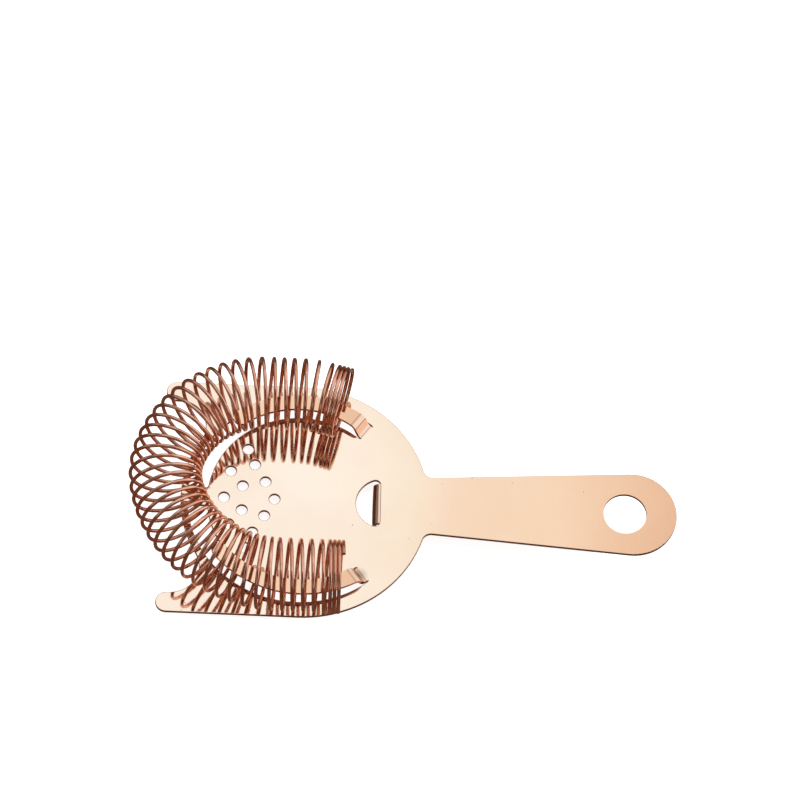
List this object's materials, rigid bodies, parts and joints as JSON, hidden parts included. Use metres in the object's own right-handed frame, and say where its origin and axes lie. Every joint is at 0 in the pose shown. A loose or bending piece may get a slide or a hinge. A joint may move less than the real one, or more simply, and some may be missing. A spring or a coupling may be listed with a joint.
{
  "type": "hawthorne strainer",
  "caption": "Round perforated bar strainer plate with ears and a handle, and a sliding wire coil spring threaded on two raised tongues.",
  "frame": {"origin": "centre of the round head, on the face of the sheet that carries the spring", "axes": "+X along the handle away from the head, +Z out of the sheet on the spring side, +Y to the left"},
  "size_m": [0.1769, 0.0876, 0.0311],
  "materials": {
    "plate": "mirror-polished copper plating on stamped stainless steel sheet",
    "spring": "copper-plated drawn spring wire"
  },
  "bodies": {
    "plate": {"strainer_plate": "plate"},
    "spring": {"coil_spring": "spring"}
  },
  "joints": [
    {"name": "spring_slide", "type": "slide", "parent": "plate", "child": "spring", "axis": [1, 0, 0], "range_m": [0, 0.001], "stiffness_N_per_m": 150}
  ]
}
